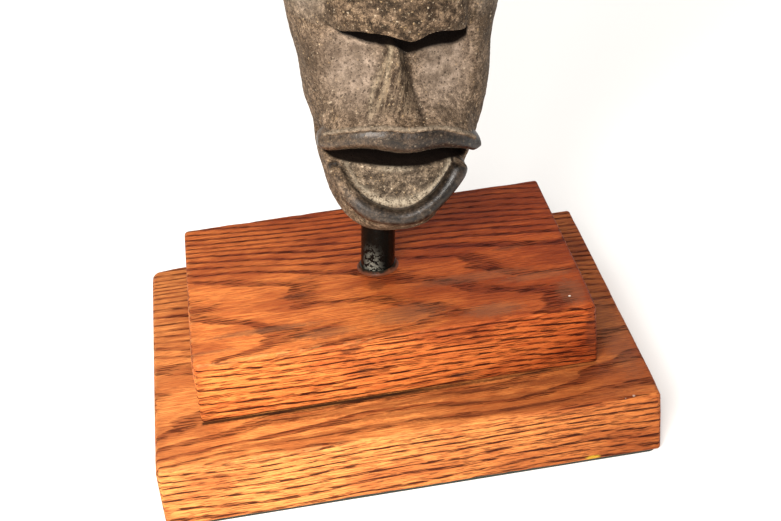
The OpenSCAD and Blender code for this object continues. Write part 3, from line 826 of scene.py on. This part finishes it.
def oak(name, yc, zc, tilt_y, tilt_z, seed, tone, shade_far, foot, glint_amount, flat, spacing=1.85, marks=()):
    """Flat-sawn stained oak as a solid texture: growth rings round an axis near X, dark open pores
    crowded in the early wood of each ring, a few stains, specks and patches of painted shade at fixed places, painted
    light and shade across the board and a painted highlight along the front top edges."""
    g = Graph(name)
    P = g.vmath("SCALE", g.coord)
    P.node.inputs["Scale"].default_value = 1000.0
    P0 = g.vmath("ADD", P, (seed * 31.7, seed * 17.3, seed * 11.9))
    x, y, z = g.xyz(P)
    slow = g.noise(g.vmath("MULTIPLY", P0, (0.011, 0.034, 0.034)), 1.0, 1, 0.5)
    wave = g.noise(g.vmath("MULTIPLY", P0, (0.045, 0.16, 0.16)), 1.0, 2, 0.5)
    dy = g.add(g.sub(y, yc), g.mul(x, tilt_y))
    dz = g.add(g.sub(z, zc), g.mul(x, tilt_z))
    r = g.math("SQRT", g.add(g.mul(dy, dy), g.mul(dz, dz)))
    r = g.add(r, g.add(g.mul(g.sub(slow, 0.5), 10.0), g.mul(g.sub(wave, 0.5), 1.5)))
    q = g.div(r, spacing)
    ph = g.math("FRACT", q)
    rr = g.white(g.vec(g.math("FLOOR", q), 3.1, seed))
    along = g.noise(g.vmath("MULTIPLY", P0, (0.05, 0.45, 0.45)), 1.0, 2, 0.55)
    ny = g.math("ABSOLUTE", g.xyz(g.normal)[1])
    front = g.step(ny, 0.5, 0.8)
    early = g.mul(g.step(ph, 0.0, 0.10), g.step(g.add(ph, g.mul(front, 0.10)), 0.54, 0.20))
    early = g.mul(early, g.add(0.35, g.add(g.mul(rr, 0.55), g.mul(g.step(along, 0.35, 0.65), 0.35))))
    # pores: dark dashes along X, finer and more broken where the rings stand on edge
    steep = g.math("MAXIMUM", g.step(g.math("ABSOLUTE", dy), 7.0, 24.0, flat, 1.0), front)
    early = g.mul(early, steep)
    pn = g.noise(g.vmath("MULTIPLY", P0, (0.16, 2.5, 2.5)), 1.0, 1, 0.5)
    pn2 = g.noise(g.vmath("MULTIPLY", P0, (0.24, 3.6, 3.6)), 1.0, 1, 0.5)
    fib = g.noise(g.vmath("MULTIPLY", P0, (0.10, 2.6, 2.6)), 1.0, 4, 0.7)
    fib2 = g.noise(g.vmath("MULTIPLY", P0, (0.5, 3.0, 3.0)), 1.0, 3, 0.7)
    wide = g.step(early, 0.05, 0.40)
    pore = g.mul(g.step(g.add(pn, g.mul(front, 0.055)), 0.51, 0.60), wide)
    fleck = g.mul(g.step(pn2, 0.55, 0.63), g.add(0.42, g.mul(front, 0.22)))
    light, mid, dark, deep = tone
    col = g.mix(g.step(fib, 0.34, 0.62), mid, light)
    col = g.mix(g.step(fib2, 0.42, 0.70, 0.0, 0.30), col, dark)
    patch = g.noise(g.vmath("MULTIPLY", P0, (0.030, 0.085, 0.085)), 1.0, 3, 0.6)
    col = g.mix(g.mul(g.step(patch, 0.43, 0.60), 0.70), col, g.mix(fib, dark, mid))
    col = g.mix(g.mul(early, g.sub(0.80, g.mul(front, 0.30))), col, dark)
    col = g.mix(g.mul(pore, g.add(0.80, g.mul(front, 0.14))), col, deep)
    col = g.mix(fleck, col, g.mix(front, dark, deep))
    # painted light and shade: duller, darker and redder towards +X and the back, lighter and more orange towards -X
    side = g.step(g.mul(g.add(x, y), 0.8), -64.0, 28.0)
    col = g.mix(1.0, col, g.mix(side, (1.20, 1.18, 1.14), shade_far), "MULTIPLY")
    # fixed marks: centre, half-sizes, colour, strength
    rag = g.noise(P0, 0.9, 3, 0.6)
    for (c, h, colour, amount) in marks:
        dd = g.vmath("DIVIDE", g.vmath("SUBTRACT", P, c), h)
        n = g.nt.nodes.new("ShaderNodeVectorMath")
        n.operation = "LENGTH"
        g.link(dd, n.inputs[0])
        d = g.add(n.outputs["Value"], g.mul(g.sub(rag, 0.5), 1.1))
        col = g.mix(g.mul(g.mul(g.step(d, 1.25, 0.45), g.step(fib, 0.25, 0.60, 1.0, 0.55)), amount), col, colour)
    # dark line at the foot of the board, partly glue and partly painted shade in the joint; painted shadow on the lower
    # board's top along the upper board's front; stain along the edges; painted highlight along the front top edges
    en = g.noise(g.vmath("MULTIPLY", P0, (0.22, 0.5, 0.5)), 1.0, 3, 0.6)
    col = g.mix(g.mul(g.step(z, foot + 0.75, foot + 0.35), g.step(en, 0.25, 0.45, 0.5, 0.95)), col, STAIN)
    # painted shadow where the upper board's front meets the lower board's top
    joint_shade = g.mul(g.step(g.math("ABSOLUTE", g.add(y, 31.9)), 0.75, 0.4), g.step(g.math("ABSOLUTE", g.sub(z, 20.1)), 0.8, 0.5))
    joint_shade = g.mul(joint_shade, g.mul(g.step(x, 20.0, -4.0, 0.25, 1.0), g.mul(g.step(x, -54.3, -53.6), g.step(x, 54.3, 53.6))))
    col = g.mix(g.mul(joint_shade, 0.85), col, (0.016, 0.006, 0.004))
    col = g.mix(g.mul(g.mul(g.attr("w_edge"), g.step(en, 0.38, 0.6)), 0.35), col, dark)
    # painted highlight along the front top edges, on the left
    rim_glint = g.mul(g.attr("w_rim_highlight"), g.mul(g.step(en, 0.50, 0.60), g.mul(g.step(z, foot + 12.0, foot + 17.0), g.step(x, 30.0, -40.0))))
    col = g.mix(g.mul(rim_glint, glint_amount), col, (0.85, 0.44, 0.15))
    g.link(col, g.bsdf.inputs["Base Color"])
    g.link(g.add(0.46, g.add(g.mul(pore, 0.25), g.mul(fib, 0.14))), g.bsdf.inputs["Roughness"])
    g.bsdf.inputs["Specular IOR Level"].default_value = 0.05
    hgt = g.sub(g.add(g.mul(fib, 0.45), g.mul(fib2, 0.30)), g.add(g.mul(pore, 1.0), g.add(g.mul(fleck, 0.5), g.mul(early, 0.25))))
    g.link(g.bump(hgt, 0.8, 0.00028), g.bsdf.inputs["Normal"])
    return g.mat


def axis_steps(h, r, mid_step):
    """Positions along one axis: dense near the ends, even in the middle."""
    near = [0, 0.18, 0.4, 0.65, 0.95, 1.35, 1.9, 2.8, 4.0]
    near = [v * r for v in near]
    n = max(2, int(round((2 * h - 2 * near[-1]) / mid_step)))
    mid = np.linspace(-h + near[-1], h - near[-1], n + 1)
    return np.concatenate([[-h + v for v in near[:-1]], mid, [h - v for v in near[:-1]][::-1]])


def board(name, node, radius, seed, mid_step=2.2, dents=()):
    """A board with hand-eased, slightly uneven edges, made in the CAD node's box."""
    lo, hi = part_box(node)
    c = np.array([(lo[i] + hi[i]) / 2 for i in range(3)]) / MM
    h = np.array([(hi[i] - lo[i]) / 2 for i in range(3)]) / MM
    ax = [axis_steps(h[i], radius, mid_step if i < 2 else 1.6) for i in range(3)]
    index, verts, quads = {}, [], []

    def vid(i, j, k):
        key = (i, j, k)
        if key not in index:
            index[key] = len(verts)
            verts.append((ax[0][i], ax[1][j], ax[2][k]))
        return index[key]

    n = [len(a) - 1 for a in ax]
    for d in range(3):
        e, f = [(1, 2), (2, 0), (0, 1)][d]
        for side in (0, n[d]):
            for a in range(n[e]):
                for b in range(n[f]):
                    cell = []
                    for da, db in ((0, 0), (1, 0), (1, 1), (0, 1)):
                        t = [0, 0, 0]
                        t[d], t[e], t[f] = side, a + da, b + db
                        cell.append(vid(*t))
                    quads.append(cell if side else cell[::-1])
    v = np.array(verts)
    wpos = v + c
    r = radius * (0.72 + 0.5 * (0.5 + 0.5 * fbm(wpos, 14.0, 3, seed)))
    for (px, py, pz, rad, amt) in dents:
        dd = np.linalg.norm(wpos - np.array([px, py, pz]), axis=1)
        r = r + amt * np.exp(-(dd / rad) ** 2)
    q = np.clip(v, -(h - r[:, None]), h - r[:, None])
    dvec = v - q
    ln = np.linalg.norm(dvec, axis=1)
    k = ln > 1e-9
    out = v.copy()
    out[k] = q[k] + dvec[k] / ln[k][:, None] * np.minimum(r[k], ln[k])[:, None]
    # outer faces: keep flats flat, ease only where two or three faces meet
    over = (np.abs(v) > (h - r[:, None])).sum(1)
    flat = over < 2
    out[flat] = v[flat]
    # slight waviness and nicks at the edges
    edge = np.sort(h - np.abs(v), axis=1)[:, 1]
    w = np.exp(-(edge / 1.6) ** 2)
    nrm = out / np.maximum(np.linalg.norm(out, axis=1, keepdims=True), 1e-9)
    nick = np.clip(vnoise(wpos, 3.0, seed + 5) - 0.35, 0, 1) * 0.5
    out = out - np.sign(v) * ((h - np.abs(v)) < 1.2 * radius) * (w * nick)[:, None] * 0.35
    o = make_mesh_arrays(name, (out + c) * MM, np.array(quads))
    add_attribute(o.data, "w_edge", np.exp(-(edge / 2.2) ** 2))
    # weight near the edges for the painted edge highlight
    add_attribute(o.data, "w_rim_highlight", np.exp(-(edge / 1.1) ** 2))
    return o


LOWER_TONE = ((0.68, 0.275, 0.078), (0.45, 0.135, 0.036), (0.17, 0.035, 0.012), (0.036, 0.007, 0.004))
UPPER_TONE = ((0.66, 0.220, 0.054), (0.42, 0.098, 0.024), (0.15, 0.026, 0.009), (0.030, 0.005, 0.003))
STAIN = (0.040, 0.013, 0.008)
SMEAR = (0.13, 0.058, 0.030)
UPPER_MARKS = (
    ((-12.2, -31.8, 36.4), (3.0, 2.0, 1.2), STAIN, 0.8), ((-8.7, -31.8, 29.0), (2.8, 2.0, 1.1), STAIN, 0.75),
    ((17.5, -31.8, 23.0), (5.0, 2.0, 0.9), STAIN, 0.9), ((52.5, -31.8, 30.0), (2.0, 2.5, 7.0), STAIN, 0.7),
    ((37.3, 2.1, 39.1), (5.0, 1.1, 1.5), STAIN, 0.8), ((-24.2, -6.3, 39.1), (5.5, 1.2, 1.5), STAIN, 0.75),
    ((-1.8, -6.6, 39.1), (2.6, 3.4, 1.5), STAIN, 0.7), ((-20.0, 2.0, 39.1), (5.0, 1.2, 1.5), STAIN, 0.5),
    ((-34.0, -20.5, 39.1), (17.0, 1.5, 1.5), SMEAR, 0.85), ((-18.0, -26.0, 39.1), (9.0, 2.6, 1.5), SMEAR, 0.75),
    ((4.0, -23.0, 39.1), (11.0, 5.0, 1.5), SMEAR, 0.75), ((24.0, -10.0, 39.1), (17.0, 2.6, 1.5), SMEAR, 0.55),
    ((42.0, -14.0, 39.1), (11.0, 2.2, 1.5), SMEAR, 0.6), ((27.0, -27.0, 39.1), (8.5, 3.4, 1.5), SMEAR, 0.8),
    ((49.0, -24.0, 39.1), (4.2, 7.0, 1.5), SMEAR, 0.7), ((-50.0, -27.0, 39.1), (9.0, 1.0, 1.5), SMEAR, 0.6),
    ((48.0, -26.0, 39.1), (0.35, 0.35, 0.6), (0.9, 0.85, 0.75), 0.9))
LOWER_MARKS = (
    ((47.9, -49.2, 2.0), (2.4, 1.0, 0.7), (0.62, 0.42, 0.03), 0.85), ((59.3, -48.3, 20.0), (0.4, 0.35, 0.4), (0.7, 0.6, 0.5), 0.7),
    ((57.0, -48.8, 20.0), (0.25, 0.25, 0.3), (0.6, 0.5, 0.4), 0.5),
    # painted shade: the lower board's top to the right of the upper board, darkened as in the upper board's shadow
    ((62.0, -20.0, 20.05), (5.0, 22.0, 1.5), (0.10, 0.055, 0.035), 0.45),
    ((-6.0, -36.0, 20.05), (46.0, 1.6, 1.5), (0.13, 0.035, 0.012), 0.8), ((10.0, -40.5, 20.05), (40.0, 1.3, 1.5), (0.15, 0.040, 0.013), 0.8),
    ((-20.0, -44.0, 20.05), (38.0, 1.0, 1.5), (0.17, 0.045, 0.014), 0.7), ((30.0, -46.0, 20.05), (30.0, 1.1, 1.5), (0.12, 0.03, 0.011), 0.8),
    # the last two marks, at y -32.3, are painted shade along the foot of the upper board's front
    ((45.0, -36.5, 20.05), (18.0, 2.6, 1.5), (0.13, 0.033, 0.012), 0.75), ((-12.0, -32.3, 20.05), (44.0, 1.15, 1.0), (0.012, 0.005, 0.003), 1.0),
    ((34.0, -32.3, 20.05), (24.0, 0.7, 1.0), (0.060, 0.022, 0.010), 0.7))
lower = board("lower_board", "lower_plinth", 1.0, 5, dents=((-66.7, 49.2, 20, 5, 1.4), (66.7, -49.2, 20, 6, 0.8), (-66.7, -49.2, 20, 5, 0.5)))
upper = board("upper_board", "upper_plinth", 1.0, 9, dents=((54, -31.8, 39.1, 6, 1.3), (-54, -31.8, 39.1, 5, 1.0), (-54, 38, 39.1, 4, 0.3)))


def cylinder_mesh(name, r, z0, z1, n=48, r1=None, lean=True, centre=(0, 0)):
    ring = [(math.cos(2 * math.pi * i / n), math.sin(2 * math.pi * i / n)) for i in range(n)]
    r1 = r if r1 is None else r1
    pts = [(centre[0] + r * a, centre[1] + r * b, z0) for a, b in ring] + [(centre[0] + r1 * a, centre[1] + r1 * b, z1) for a, b in ring]
    pts = from_post(pts) if lean else np.array(pts) * MM
    faces = [(i, (i + 1) % n, n + (i + 1) % n, n + i) for i in range(n)] + [tuple(range(n))[::-1], tuple(range(n, 2 * n))]
    return make_object(name, pts, faces)


def cut(o, tool):
    m = o.modifiers.new("cut", "BOOLEAN")
    m.operation = "DIFFERENCE"
    m.solver = "EXACT"
    m.object = tool
    bpy.context.view_layer.objects.active = o
    for s in bpy.context.selected_objects:
        s.select_set(False)
    o.select_set(True)
    bpy.ops.object.modifier_apply(modifier=m.name)


tool = cylinder_mesh("tool", 5.2625, -30.5, 20)
cut(upper, tool)
cut(lower, tool)
bpy.data.objects.remove(tool)

use(lower, oak("lower_oak", -20.0, -30.0, 0.03, 0.03, 3.0, LOWER_TONE, (0.56, 0.42, 0.36), -5.0, 0.2, 0.8, 1.9, LOWER_MARKS))
use(upper, oak("upper_oak", -18.0, -18.0, 0.045, 0.05, 7.0, UPPER_TONE, (0.50, 0.32, 0.27), 20.05, 0.2, 0.75, 1.85, UPPER_MARKS))
for o, n, s in ((lower, "lower_plinth", "lower_oak"), (upper, "upper_plinth", "upper_oak")):
    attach(o, "root")
    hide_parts(n)

# ------------------------------------------------------------------ post
g = Graph("post_paint")
P = g.vmath("SCALE", g.coord)
P.node.inputs["Scale"].default_value = 1000.0
x, y, z = g.xyz(P)
n1 = g.noise(P, 0.75, 3, 0.65)
n2 = g.noise(P, 1.6, 2, 0.5)
low_part = g.step(z, 50.0, 40.0)
side = g.step(x, 2.0, -3.5)
front_side = g.step(y, 2.0, -2.0)
chip = g.mul(g.mul(low_part, side), g.mul(front_side, g.step(g.add(n1, g.mul(g.sub(n2, 0.5), 0.35)), 0.47, 0.51)))
col = g.mix(chip, (0.0016, 0.0024, 0.0021), g.mix(n2, (0.04, 0.042, 0.034), (0.36, 0.35, 0.29)))
g.link(col, g.bsdf.inputs["Base Color"])
g.link(g.add(0.17, g.mul(chip, 0.3)), g.bsdf.inputs["Roughness"])
g.bsdf.inputs["Specular IOR Level"].default_value = 0.14
g.link(g.bump(g.add(g.mul(chip, -0.6), g.mul(n1, 0.5)), 0.6, 0.0003), g.bsdf.inputs["Normal"])
use(nodes["post"], g.mat)

# ------------------------------------------------------------------ glue
g = Graph("glue")
P = g.vmath("SCALE", g.coord)
P.node.inputs["Scale"].default_value = 1000.0
n1 = g.noise(P, 0.6, 3, 0.6)
x, y, z = g.xyz(P)
dx, dy = g.sub(x, FOOT[0]), g.sub(y, FOOT[1])
rad = g.add(g.math("SQRT", g.add(g.mul(dx, dx), g.mul(dy, dy))), g.mul(g.sub(n1, 0.5), 1.0))
g.link(g.mix(g.step(rad, 5.05, 5.5), g.mix(n1, (0.003, 0.003, 0.002), (0.016, 0.012, 0.007)), g.mix(n1, (0.055, 0.016, 0.008), (0.12, 0.036, 0.015))), g.bsdf.inputs["Base Color"])
g.bsdf.inputs["Roughness"].default_value = 0.3
g.bsdf.inputs["Specular IOR Level"].default_value = 0.12
g.link(g.bump(n1, 0.5, 0.0003), g.bsdf.inputs["Normal"])
use(nodes["post_glue"], g.mat)

# ------------------------------------------------------------------ felt
g = Graph("felt")
P = g.vmath("SCALE", g.coord)
P.node.inputs["Scale"].default_value = 1000.0
n1 = g.noise(P, 3.0, 4, 0.8)
g.link(g.mix(n1, (0.003, 0.008, 0.005), (0.014, 0.028, 0.018)), g.bsdf.inputs["Base Color"])
g.bsdf.inputs["Roughness"].default_value = 0.95
g.bsdf.inputs["Sheen Weight"].default_value = 0.08
g.link(g.bump(n1, 0.9, 0.0004), g.bsdf.inputs["Normal"])
use(nodes["base_felt"], g.mat)

# ------------------------------------------------------------------ putty and screws
g = Graph("putty")
P = g.vmath("SCALE", g.coord)
P.node.inputs["Scale"].default_value = 1000.0
n1 = g.noise(P, 0.5, 4, 0.6)
g.link(g.mix(n1, (0.008, 0.007, 0.006), (0.035, 0.030, 0.025)), g.bsdf.inputs["Base Color"])
g.bsdf.inputs["Roughness"].default_value = 0.8
g.link(g.bump(n1, 0.8, 0.0006), g.bsdf.inputs["Normal"])
use(nodes["chin_putty"], g.mat)

g = Graph("screw_steel")
P = g.vmath("SCALE", g.coord)
P.node.inputs["Scale"].default_value = 1000.0
n1 = g.noise(P, 1.4, 3, 0.6)
g.link(g.mix(n1, (0.42, 0.40, 0.34), (0.70, 0.68, 0.62)), g.bsdf.inputs["Base Color"])
g.bsdf.inputs["Metallic"].default_value = 1.0
g.link(g.add(0.25, g.mul(n1, 0.25)), g.bsdf.inputs["Roughness"])
use(nodes["plinth_screws"], g.mat)
